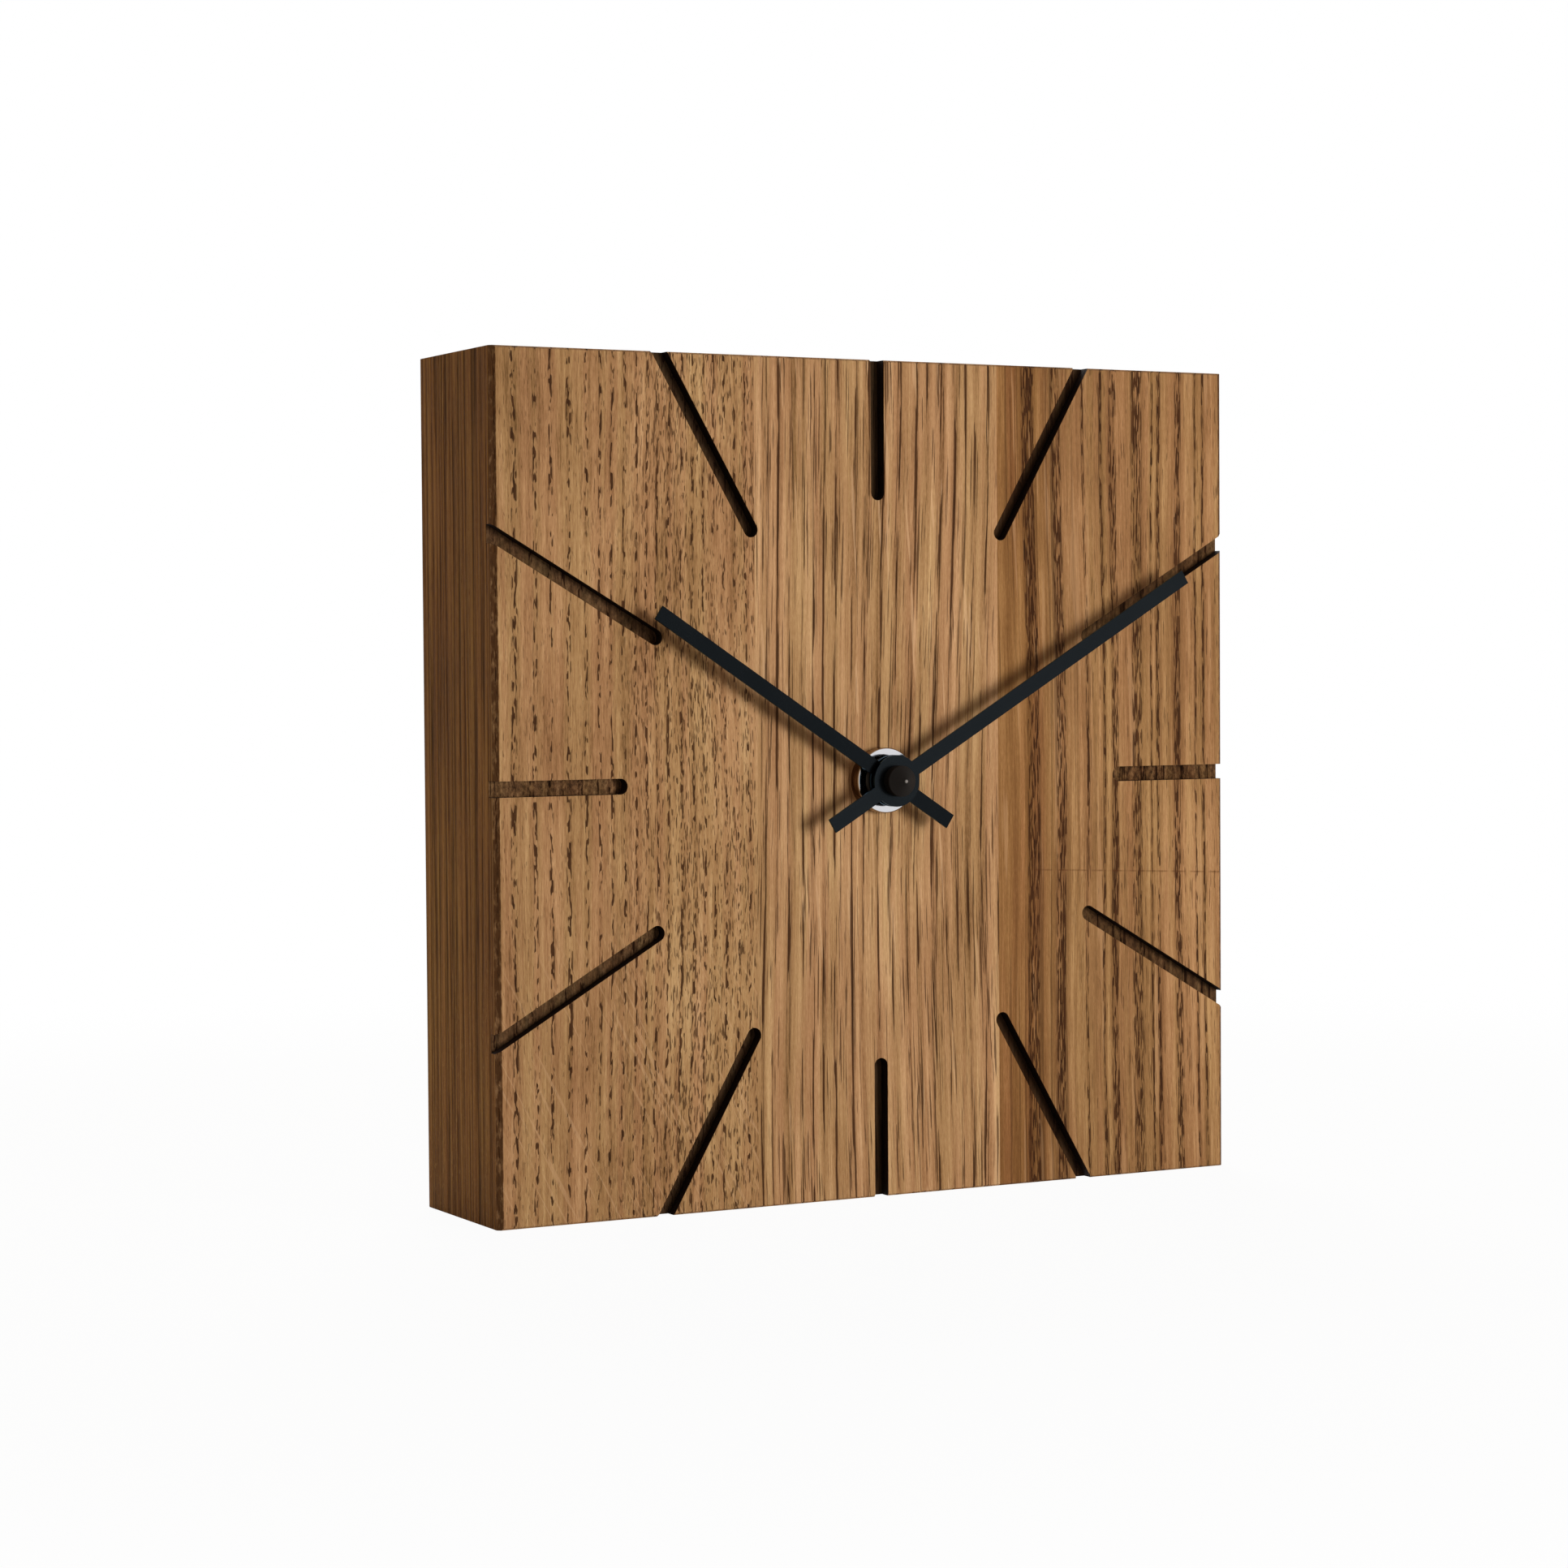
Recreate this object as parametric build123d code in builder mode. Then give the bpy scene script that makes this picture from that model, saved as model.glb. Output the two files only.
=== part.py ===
from build123d import *
import os
from math import cos, hypot, radians, sin

# Square oak clock: three glued staves, twelve hour grooves, and a quartz movement let into the back.
# Millimetres. +Z is up, the face looks towards -Y, and the origin is the centre of the underside.
os.makedirs("parts", exist_ok=True)

# Block of three staves
block_width = 150.0
block_height = 150.0
block_depth = 32.0
stave_names = ("left_stave", "centre_stave", "right_stave")
front_arris = 0.9        # chamfer on the upright front edges
front_ease = 0.35        # chamfer on the level front edges
back_round = 1.6         # radius of the back edges
groove_count = 12
groove_width = 2.75
groove_depth = 2.4
groove_tip_radius = 50.0
front_web = 7.0          # wood left in front of the movement pocket
pocket_gap = 2.0         # room round the movement
pocket_headroom = 14.0   # room above the movement, for the hanger tab
pocket_corner = 4.0
overrun = 1.0            # how far every cut runs past its surface

# Hands, measured from the arbor
hand_thickness = 0.4
hand_ring_radius = 4.6
minute_tip = 72.0
minute_tail = 15.2
minute_width = 2.7
minute_bearing = 59.5    # degrees clockwise from twelve
hour_tip = 55.0
hour_tail = 14.0
hour_width = 2.7
hour_bearing = -57.06
hour_collet_radius = 3.5
hour_collet_length = 1.4
hand_gap = 0.9           # from the front of the hour hand to the back of the minute hand
cap_radius = 2.75
cap_height = 1.85
cap_cone = 1.65
cap_thread_depth = 0.9

# Nut, bush, pipe and arbors of the hand shaft
washer_radius = 14.0
washer_thickness = 1.0
nut_radius = 5.85
nut_thickness = 2.6
nut_chamfer = 0.35
bush_radius = 4.0
bush_reach = 0.4         # bush in front of the nut
bush_flange_radius = 5.6
bush_flange = 0.8
bush_hole_gap = 0.25
collet_gap = 0.2         # from the bush to the collet of the hour hand
pipe_radius = 2.5
pipe_reach = 0.3         # hour pipe in front of the hour hand
minute_radius = 1.6
minute_nose_radius = 1.25
seconds_radius = 0.5
running = 0.05           # radial clearance of every turning fit

# Movement case, as wide as its cell and as high as its works need
case_wall = 1.2
case_corner = 3.0
chamber_gap = 1.0        # above the coil
plate_gap = 1.8          # from the train plate to the divider over the battery bay
cover_thickness = 1.5
cover_gap = 0.1
tab_width = 22.0
tab_height = 13.0
tab_thickness = 2.0
tab_corner = 3.0
keyhole_head_radius = 3.5
keyhole_neck_radius = 1.6
keyhole_rim = 0.8        # from the case to the keyhole's head
keyhole_top = 2.2        # from the keyhole's neck to the top of the tab
snap_width = 6.0
snap_length = 5.0
snap_thickness = 0.8
snap_barb = 0.6
snap_barb_length = 1.2
snap_height = 10.0       # of the snap's middle above the shaft
snap_gap = 0.15

# Wheels: every pair takes its modules from its teeth and its centre distance
wheel_thickness = 1.0
motion_gap = 0.3         # between wheels in front of the train plate
train_gap = 0.5          # between wheels behind it
end_play = 0.2
boss_length = 2.2
boss_radius = 1.1
arbor_radius = 0.5
pivot_length = 1.5
pivot_hole_spare = 0.2
addendum_share = 0.85
dedendum_share = 1.1
tooth_root_share = 0.45
motion_distance = 8.0
motion_bearing = -15.0   # degrees anticlockwise from +X, seen from the front
knob_bearing = -10.0
third_distance = 9.0
third_bearing = 150.0
intermediate_distance = 7.2
intermediate_bearing = 30.0
rotor_distance = 6.72
rotor_bearing = 50.0
cannon_teeth = 16
minute_wheel_teeth = 48
minute_pinion_teeth = 12
hour_teeth = 48
knob_teeth = 16
centre_teeth = 64
third_pinion_teeth = 8
third_teeth = 60
seconds_pinion_teeth = 8
seconds_teeth = 40
intermediate_pinion_teeth = 8
intermediate_teeth = 48
rotor_teeth = 8
minute_post_radius = 0.9
clutch_thickness = 0.15
clutch_radius = 4.6
clutch_hub_radius = 2.6
clutch_arm_width = 1.4
clutch_arms = 3
knob_radius = 5.0
knob_height = 3.2
knob_gap = 0.3
knob_shaft_radius = 1.2
knob_flutes = 24
knob_flute_depth = 0.45

# Train plate, motor and circuit
plate_thickness = 1.0
plate_left = 16.0
plate_right = 20.0
plate_low = 8.6
plate_high = 13.7
plate_corner = 2.0
plate_clearance = 0.15
post_width = 2.0
post_pin_width = 1.2
post_pin_spare = 0.3
post_inset = 2.4
stator_thickness = 1.0
stator_pad = 2.2
stator_pad_height = 1.2
stator_ring_radius = 4.2
stator_band = 5.0
stator_arm = 3.0
stator_span = 18.0
stator_height = 17.0
magnet_radius = 2.0
magnet_height = 2.4
magnet_gap = 0.35
core_width = 3.0
core_thickness = 1.0
coil_flange = 8.0
coil_flange_thickness = 1.0
coil_arm_gap = 0.8
bobbin_wall = 0.8
coil_build = 2.0
coil_corner = 1.8
core_gap = 0.05
board_width = 25.0
board_height = 10.5
board_thickness = 1.0
board_rise = 4.1         # of the board's front above the case floor
board_gap = 1.0
board_rest = 2.4
board_rest_inset = 5.5
chip_size = 5.0
chip_height = 1.2
chip_draft = 20.0        # degrees
crystal_radius = 1.0
crystal_length = 6.0

# Battery bay
battery_radius = 7.1
battery_length = 49.2
battery_nub_radius = 2.75
battery_nub = 1.3
battery_gap = 0.5
battery_rest_gap = 0.25
bay_end = 1.55           # room for a contact at each end of the cell
contact_thickness = 0.4
contact_width = 7.6
contact_depth = 10.0
contact_dimple_radius = 2.2
contact_touch_gap = 0.05
strip_width = 2.0
strip_gap = 0.2

# Levels along Y, front to back
front_y = -block_depth / 2
back_y = block_depth / 2
hub_height = block_height / 2
pocket_floor_y = front_y + front_web
case_front_y = pocket_floor_y + washer_thickness
inside_y = case_front_y + case_wall
hour_y = inside_y + bush_flange + end_play
cannon_y = hour_y + wheel_thickness + motion_gap
centre_y = cannon_y + wheel_thickness + motion_gap
clutch_y = centre_y + wheel_thickness + running
clutch_back_y = clutch_y + clutch_thickness
plate_y = centre_y + wheel_thickness + train_gap
plate_back_y = plate_y + plate_thickness
third_y = plate_back_y + train_gap
seconds_y = third_y + wheel_thickness + train_gap
intermediate_y = seconds_y + wheel_thickness + train_gap
boss_y = intermediate_y + wheel_thickness + train_gap
cover_y = boss_y + boss_length
case_back_y = cover_y + cover_thickness
knob_y = case_back_y + knob_gap
third_boss_y = centre_y - motion_gap - end_play
knob_boss_y = cannon_y - end_play
board_y = inside_y + board_rise
board_back_y = board_y + board_thickness
stator_y = plate_back_y + stator_pad_height
stator_back_y = stator_y + stator_thickness
core_back_y = stator_back_y + core_thickness
magnet_y = (stator_y + stator_back_y - magnet_height) / 2
battery_y = inside_y + battery_rest_gap + battery_radius
nut_front_y = front_y - nut_thickness
bush_front_y = nut_front_y - bush_reach
collet_back_y = bush_front_y - collet_gap
hour_hand_y = collet_back_y - hour_collet_length
hour_front_y = hour_hand_y - hand_thickness
pipe_front_y = hour_front_y - pipe_reach
minute_hand_y = hour_front_y - hand_gap
minute_front_y = minute_hand_y - hand_thickness
nose_front_y = minute_front_y - cap_thread_depth + end_play
cap_front_y = minute_front_y - cap_height


def polar(distance, bearing, start=(0, 0)):
    """Point at a distance and an anticlockwise bearing from a start point."""
    turn = radians(bearing)
    return (start[0] + distance * cos(turn), start[1] + distance * sin(turn))


def face(y, turn=0):
    """Plane across the clock at depth y, centred on the shaft, looking to the front."""
    across, up = polar(1, turn)
    return Plane(origin=(0, y, hub_height), x_dir=(across, 0, up), z_dir=(0, -1, 0))


def square_to_bay(y, across, up):
    """Plane square to +X at a place from the shaft, with its first axis along Y."""
    return Plane(origin=(across, y, hub_height + up), x_dir=(0, 1, 0), z_dir=(1, 0, 0))


# Places in the plane of the face, from the shaft: across and up
minute_wheel_at = polar(motion_distance, motion_bearing)
knob_at = polar(motion_distance, knob_bearing, minute_wheel_at)
third_at = polar(third_distance, third_bearing)
intermediate_at = polar(intermediate_distance, intermediate_bearing)
rotor_at = polar(rotor_distance, rotor_bearing, intermediate_at)
post_places = (
    (-plate_left + post_inset, -plate_low + post_inset),
    (-plate_left + post_inset, plate_high - post_inset),
    (plate_right - post_inset, intermediate_at[1]),
)
stator_left = rotor_at[0] - stator_span / 2
stator_right = rotor_at[0] + stator_span / 2
stator_low = rotor_at[1] - stator_band / 2
stator_high = stator_low + stator_height
pad_up = stator_low + stator_band - stator_pad / 2
pad_places = ((stator_left + stator_arm / 2, pad_up), (stator_right - stator_arm / 2, pad_up))
coil_up = stator_high - stator_arm / 2
bobbin_left = stator_left + stator_arm + coil_arm_gap
bobbin_right = stator_right - stator_arm - coil_arm_gap
movement_width = battery_length + battery_nub + 2 * (bay_end + case_wall)
half_case = movement_width / 2
half_inside = half_case - case_wall
chamber_high = coil_up + coil_flange / 2 + chamber_gap
case_high = chamber_high + case_wall
divider_high = -plate_low - plate_gap
bay_high = divider_high - case_wall
bay_low = bay_high - 2 * (battery_radius + battery_gap)
case_low = bay_low - case_wall
case_middle = (0, (case_low + case_high) / 2)
case_height = case_high - case_low
keyhole_head_up = case_high + keyhole_rim + keyhole_head_radius
keyhole_neck_length = case_high + tab_height - keyhole_top - keyhole_head_up
board_left = -half_inside + board_gap
board_right = board_left + board_width
board_high = chamber_high - board_gap
board_low = board_high - board_height
board_middle = ((board_left + board_right) / 2, (board_low + board_high) / 2)
battery_up = (bay_low + bay_high) / 2
battery_left = -(battery_length + battery_nub) / 2
battery_right = battery_left + battery_length
battery_end = battery_right + battery_nub
contact_inside = half_inside - contact_thickness
lead_left = board_left + contact_thickness
lead_right = lead_left + strip_width


def meshed(teeth_1, phase_1, teeth_2, bearing):
    """Bearing of a tooth of wheel 2, so that it falls in a gap of wheel 1 along the centre line."""
    return bearing + 180 - (180 - (bearing - phase_1) * teeth_1) / teeth_2


def share_of(distance, teeth, mate_teeth):
    """Pitch radius of one wheel of a pair, from the centre distance and both counts of teeth."""
    return distance * teeth / (teeth + mate_teeth)


# Pitch radii, and phases that start each wheel with a tooth in a gap of the wheel that it meets
cannon_radius = share_of(motion_distance, cannon_teeth, minute_wheel_teeth)
minute_rim_radius = share_of(motion_distance, minute_wheel_teeth, cannon_teeth)
minute_pinion_radius = share_of(motion_distance, minute_pinion_teeth, hour_teeth)
hour_rim_radius = share_of(motion_distance, hour_teeth, minute_pinion_teeth)
knob_pinion_radius = share_of(motion_distance, knob_teeth, minute_wheel_teeth)
centre_rim_radius = share_of(third_distance, centre_teeth, third_pinion_teeth)
third_pinion_radius = share_of(third_distance, third_pinion_teeth, centre_teeth)
third_rim_radius = share_of(third_distance, third_teeth, seconds_pinion_teeth)
seconds_pinion_radius = share_of(third_distance, seconds_pinion_teeth, third_teeth)
seconds_rim_radius = share_of(intermediate_distance, seconds_teeth, intermediate_pinion_teeth)
intermediate_pinion_radius = share_of(intermediate_distance, intermediate_pinion_teeth, seconds_teeth)
intermediate_rim_radius = share_of(rotor_distance, intermediate_teeth, rotor_teeth)
rotor_pinion_radius = share_of(rotor_distance, rotor_teeth, intermediate_teeth)
minute_wheel_phase = meshed(cannon_teeth, 0, minute_wheel_teeth, motion_bearing)
hour_phase = meshed(minute_pinion_teeth, 0, hour_teeth, motion_bearing + 180)
knob_phase = meshed(minute_wheel_teeth, minute_wheel_phase, knob_teeth, knob_bearing)
third_phase = meshed(seconds_pinion_teeth, 0, third_teeth, third_bearing)
centre_phase = meshed(third_pinion_teeth, 0, centre_teeth, third_bearing + 180)
seconds_phase = meshed(intermediate_pinion_teeth, 0, seconds_teeth, intermediate_bearing + 180)
rotor_phase = meshed(intermediate_teeth, 0, rotor_teeth, rotor_bearing)


def ridged(y_front, y_back, at, count, root, tip, phase=0):
    """Adds a wheel with a toothed or fluted rim: each ridge has straight flanks and a pointed tip."""
    half_pitch = 180 / count
    ridge = ((root, -tooth_root_share), (tip, 0), (root, tooth_root_share))
    points = [
        polar(radius, phase + (2 * number + share) * half_pitch, at)
        for number in range(count)
        for radius, share in ridge
    ]
    with BuildSketch(face(y_back)) as wheel:
        with BuildLine():
            Polyline(*points, close=True)
        make_face()
    extrude(wheel.sketch, amount=y_back - y_front)


def toothed(y, at, teeth, pitch_radius, phase=0, length=wheel_thickness):
    """Adds a toothed wheel, or a longer pinion, to the part in hand, from depth y to the back."""
    module = 2 * pitch_radius / teeth
    root = pitch_radius - dedendum_share * module
    tip = pitch_radius + addendum_share * module
    ridged(y, y + length, at, teeth, root, tip, phase)


def disc(y_front, y_back, radius, at=(0, 0), mode=Mode.ADD):
    """Adds, or cuts, a round bar along Y between two depths."""
    with BuildSketch(face(y_back)) as bar:
        with Locations(at):
            Circle(radius)
    extrude(bar.sketch, amount=y_back - y_front, mode=mode)


def block(y_front, y_back, left, right, low, high, mode=Mode.ADD):
    """Adds, or cuts, a square-edged piece between two depths."""
    with BuildSketch(face(y_back)) as square:
        with Locations(((left + right) / 2, (low + high) / 2)):
            Rectangle(right - left, high - low)
    extrude(square.sketch, amount=y_back - y_front, mode=mode)


def rib(y_front, y_back, at, side):
    """Adds a square pillar along Y."""
    half = side / 2
    block(y_front, y_back, at[0] - half, at[0] + half, at[1] - half, at[1] + half)


def finish(builder, name):
    """Labels a finished piece and writes it to its own file."""
    builder.part.label = name
    export_step(builder.part, f"parts/{name}.step")


# Staves: outer edges first, then the grooves, the pocket and the shaft hole across all three
stave_width = block_width / len(stave_names)
groove_outer = hypot(block_width, block_height) / 2 + groove_width
pocket_low = case_low - pocket_gap
pocket_high = case_high + pocket_headroom
for place, stave_name in enumerate(stave_names):
    side = place - (len(stave_names) - 1) / 2
    with BuildPart() as stave:
        with BuildSketch(Plane.XY):
            with Locations((side * stave_width, 0)):
                Rectangle(stave_width, block_depth)
        extrude(amount=block_height)
        back_edges = stave.edges().filter_by(Axis.X).group_by(Axis.Y)[-1]
        if side:
            outer = stave.edges().filter_by(Axis.Z).group_by(Axis.X)[-1 if side > 0 else 0]
            back_edges = back_edges + outer.sort_by(Axis.Y)[-1:]
        fillet(back_edges, back_round)
        if side:
            outer = stave.edges().filter_by(Axis.Z).group_by(Axis.Y)[0]
            chamfer(outer.sort_by(Axis.X)[-1 if side > 0 else 0], front_arris)
        chamfer(stave.edges().filter_by(Axis.X).group_by(Axis.Y)[0], front_ease)
        with BuildSketch(face(front_y - overrun)):
            with PolarLocations((groove_tip_radius + groove_outer) / 2, groove_count):
                SlotOverall(groove_outer - groove_tip_radius, groove_width)
        extrude(amount=-groove_depth - overrun, mode=Mode.SUBTRACT)
        with BuildSketch(face(back_y + overrun)):
            with Locations((0, (pocket_low + pocket_high) / 2)):
                RectangleRounded(movement_width + 2 * pocket_gap, pocket_high - pocket_low, pocket_corner)
        extrude(amount=back_y + overrun - pocket_floor_y, mode=Mode.SUBTRACT)
        disc(front_y - overrun, back_y, bush_radius + bush_hole_gap, mode=Mode.SUBTRACT)
    finish(stave, stave_name)

# Front case: chamber above, battery bay below, bosses, posts and the hanger tab
open_y = case_back_y + overrun
tail_y = board_y - strip_width
snap_y = cover_y - snap_length
snap_low = snap_height - snap_width / 2
snap_high = snap_height + snap_width / 2
with BuildPart() as movement_case:
    with BuildSketch(face(case_back_y)):
        with Locations(case_middle):
            RectangleRounded(movement_width, case_height, case_corner)
    extrude(amount=case_back_y - case_front_y)
    block(inside_y, open_y, -half_inside, half_inside, divider_high, chamber_high, Mode.SUBTRACT)
    block(inside_y, open_y, -half_inside, half_inside, bay_low, bay_high, Mode.SUBTRACT)
    # rebate for the rear cover
    block(cover_y, open_y, -half_case, half_case, bay_high, case_high, Mode.SUBTRACT)
    # hanger tab with its keyhole
    with BuildSketch(face(cover_y)):
        with Locations((0, case_high + (tab_height - tab_corner) / 2)):
            RectangleRounded(tab_width, tab_height + tab_corner, tab_corner)
        with Locations((0, (case_low + chamber_high) / 2)):
            Rectangle(movement_width, chamber_high - case_low, mode=Mode.SUBTRACT)
        with Locations((0, keyhole_head_up)):
            Circle(keyhole_head_radius, mode=Mode.SUBTRACT)
        with Locations((0, keyhole_head_up + keyhole_neck_length / 2)):
            SlotOverall(keyhole_neck_length, 2 * keyhole_neck_radius, rotation=90, mode=Mode.SUBTRACT)
    extrude(amount=tab_thickness)
    # bosses, posts and rests on the case floor
    disc(inside_y, third_boss_y, boss_radius, third_at)
    disc(inside_y, knob_boss_y, boss_radius, knob_at)
    disc(inside_y, cannon_y + wheel_thickness, minute_post_radius, minute_wheel_at)
    for at in post_places:
        rib(inside_y, plate_y, at, post_width)
        rib(plate_y, plate_back_y + post_pin_spare, at, post_pin_width)
    for across in (board_left + board_rest_inset, board_right - board_rest_inset):
        rib(inside_y, board_y, (across, board_middle[1]), board_rest)
    # pivot holes, shaft hole and snap windows
    disc(third_boss_y - pivot_length, third_boss_y, arbor_radius + running, third_at, Mode.SUBTRACT)
    disc(knob_boss_y - pivot_length, knob_boss_y, arbor_radius + running, knob_at, Mode.SUBTRACT)
    disc(case_front_y, inside_y, bush_radius + running, mode=Mode.SUBTRACT)
    for wall in (-1, 1):
        window = sorted((wall * (half_inside - overrun), wall * (half_case + overrun)))
        block(
            snap_y - snap_gap,
            snap_y + snap_barb_length + snap_gap,
            *window,
            snap_low - snap_gap,
            snap_high + snap_gap,
            Mode.SUBTRACT,
        )
    # lead notches through the divider: one along the left wall, one along the floor
    block(
        tail_y - strip_gap,
        board_y + strip_gap,
        -half_inside,
        -contact_inside + strip_gap,
        bay_high - overrun,
        divider_high + overrun,
        Mode.SUBTRACT,
    )
    block(
        inside_y,
        inside_y + contact_thickness + strip_gap,
        lead_left - strip_gap,
        lead_right + strip_gap,
        bay_high - overrun,
        divider_high + overrun,
        Mode.SUBTRACT,
    )
finish(movement_case, "movement_case")

# Rear cover: plate with pivot bosses, knob hole and two snaps
snap_outside = half_inside - snap_gap
bearings = (
    ((0, 0), seconds_radius),
    (third_at, arbor_radius),
    (intermediate_at, arbor_radius),
    (rotor_at, arbor_radius),
)
with BuildPart() as rear_cover:
    with BuildSketch(face(case_back_y)):
        with Locations(case_middle):
            RectangleRounded(movement_width, case_height, case_corner)
        with Locations((0, (case_low + bay_high + cover_gap) / 2)):
            Rectangle(movement_width, bay_high + cover_gap - case_low, mode=Mode.SUBTRACT)
    extrude(amount=cover_thickness)
    for at, radius in bearings:
        disc(boss_y, cover_y, boss_radius, at)
        disc(boss_y, boss_y + pivot_length + pivot_hole_spare, radius + running, at, Mode.SUBTRACT)
    disc(cover_y, case_back_y, knob_shaft_radius + running, knob_at, Mode.SUBTRACT)
    for wall in (-1, 1):
        tongue = sorted((wall * snap_outside, wall * (snap_outside - snap_thickness)))
        barb = sorted((wall * snap_outside, wall * (half_inside + snap_barb)))
        block(snap_y, cover_y, *tongue, snap_low, snap_high)
        block(snap_y, snap_y + snap_barb_length, *barb, snap_low, snap_high)
finish(rear_cover, "rear_cover")

# Train plate: bearings for the going train, pads for the stator
pin_hole = post_pin_width + 2 * running
with BuildPart() as train_plate:
    with BuildSketch(face(plate_back_y)):
        with Locations(((plate_right - plate_left) / 2, (plate_high - plate_low) / 2)):
            RectangleRounded(plate_left + plate_right, plate_low + plate_high, plate_corner)
        Circle(seconds_radius + running, mode=Mode.SUBTRACT)
        with Locations(third_at):
            Circle(arbor_radius + plate_clearance, mode=Mode.SUBTRACT)
        with Locations(intermediate_at, rotor_at):
            Circle(arbor_radius + running, mode=Mode.SUBTRACT)
        with Locations(knob_at):
            Circle(knob_shaft_radius + plate_clearance, mode=Mode.SUBTRACT)
        with Locations(*post_places):
            Rectangle(pin_hole, pin_hole, mode=Mode.SUBTRACT)
    extrude(amount=plate_thickness)
    for at in pad_places:
        rib(plate_back_y, stator_y, at, stator_pad)
finish(train_plate, "train_plate")

# Washer, bush and nut that hold the movement to the wood
with BuildPart() as rubber_washer:
    disc(pocket_floor_y, case_front_y, washer_radius)
    disc(pocket_floor_y, case_front_y, bush_radius + running, mode=Mode.SUBTRACT)
finish(rubber_washer, "rubber_washer")

with BuildPart() as threaded_bush:
    disc(inside_y, inside_y + bush_flange, bush_flange_radius)
    disc(bush_front_y, inside_y, bush_radius)
    disc(bush_front_y, inside_y + bush_flange, pipe_radius + running, mode=Mode.SUBTRACT)
finish(threaded_bush, "threaded_bush")

with BuildPart() as round_nut:
    disc(nut_front_y, front_y, nut_radius)
    chamfer(round_nut.edges().filter_by(GeomType.CIRCLE).sort_by(Axis.Y)[0], nut_chamfer)
    disc(nut_front_y, front_y, bush_radius, mode=Mode.SUBTRACT)
finish(round_nut, "round_nut")

# Hands and cap
with BuildPart() as hour_hand:
    with BuildSketch(face(hour_hand_y, 90 - hour_bearing)):
        with Locations(((hour_tip - hour_tail) / 2, 0)):
            Rectangle(hour_tip + hour_tail, hour_width)
        Circle(hand_ring_radius)
    extrude(amount=hand_thickness)
    disc(hour_hand_y, collet_back_y, hour_collet_radius)
    disc(hour_front_y, collet_back_y, pipe_radius, mode=Mode.SUBTRACT)
finish(hour_hand, "hour_hand")

with BuildPart() as minute_hand:
    with BuildSketch(face(minute_hand_y, 90 - minute_bearing)):
        with Locations(((minute_tip - minute_tail) / 2, 0)):
            Rectangle(minute_tip + minute_tail, minute_width)
        Circle(hand_ring_radius)
        Circle(minute_nose_radius, mode=Mode.SUBTRACT)
    extrude(amount=hand_thickness)
finish(minute_hand, "minute_hand")

with BuildPart() as hand_cap:
    with BuildSketch(Plane.YZ):
        with BuildLine():
            Polyline(
                (minute_front_y, hub_height),
                (minute_front_y, hub_height + cap_radius),
                (cap_front_y, hub_height + cap_radius),
                (cap_front_y - cap_cone, hub_height),
                close=True,
            )
        make_face()
    revolve(axis=Axis((0, 0, hub_height), (0, 1, 0)))
    disc(minute_front_y - cap_thread_depth, minute_front_y, minute_nose_radius, mode=Mode.SUBTRACT)
finish(hand_cap, "hand_cap")

# Motion work: cannon pinion, minute wheel, hour wheel and setting knob
with BuildPart() as hour_wheel:
    toothed(hour_y, (0, 0), hour_teeth, hour_rim_radius, hour_phase)
    disc(pipe_front_y, hour_y, pipe_radius)
    disc(pipe_front_y, hour_y + wheel_thickness, minute_radius + running, mode=Mode.SUBTRACT)
finish(hour_wheel, "hour_wheel")

with BuildPart() as minute_arbor:
    toothed(cannon_y, (0, 0), cannon_teeth, cannon_radius)
    disc(minute_hand_y, clutch_back_y, minute_radius)
    disc(nose_front_y, minute_hand_y, minute_nose_radius)
    disc(nose_front_y, clutch_back_y, seconds_radius + running, mode=Mode.SUBTRACT)
finish(minute_arbor, "minute_arbor")

minute_bore_radius = minute_post_radius + running
minute_pinion_size = (minute_pinion_teeth, minute_pinion_radius)
with BuildPart() as minute_wheel:
    toothed(hour_y, minute_wheel_at, *minute_pinion_size, length=cannon_y - hour_y)
    toothed(cannon_y, minute_wheel_at, minute_wheel_teeth, minute_rim_radius, minute_wheel_phase)
    disc(hour_y, cannon_y + wheel_thickness, minute_bore_radius, minute_wheel_at, Mode.SUBTRACT)
finish(minute_wheel, "minute_wheel")

with BuildPart() as setting_knob:
    toothed(cannon_y, knob_at, knob_teeth, knob_pinion_radius, knob_phase)
    disc(cannon_y, knob_y, knob_shaft_radius, knob_at)
    disc(knob_boss_y - pivot_length + pivot_hole_spare, cannon_y, arbor_radius, knob_at)
    ridged(knob_y, knob_y + knob_height, knob_at, knob_flutes, knob_radius - knob_flute_depth, knob_radius)
finish(setting_knob, "setting_knob")

with BuildPart() as clutch_spring:
    with BuildSketch(face(clutch_back_y)):
        Circle(clutch_hub_radius)
        with PolarLocations(clutch_radius / 2, clutch_arms):
            Rectangle(clutch_radius, clutch_arm_width)
        Circle(minute_radius, mode=Mode.SUBTRACT)
    extrude(amount=clutch_thickness)
finish(clutch_spring, "clutch_spring")

# Going train
with BuildPart() as centre_wheel:
    toothed(centre_y, (0, 0), centre_teeth, centre_rim_radius, centre_phase)
    disc(centre_y, centre_y + wheel_thickness, minute_radius + running, mode=Mode.SUBTRACT)
finish(centre_wheel, "centre_wheel")

with BuildPart() as third_wheel:
    toothed(centre_y, third_at, third_pinion_teeth, third_pinion_radius)
    toothed(third_y, third_at, third_teeth, third_rim_radius, third_phase)
    disc(third_boss_y - pivot_length + pivot_hole_spare, boss_y + pivot_length, arbor_radius, third_at)
finish(third_wheel, "third_wheel")

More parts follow.
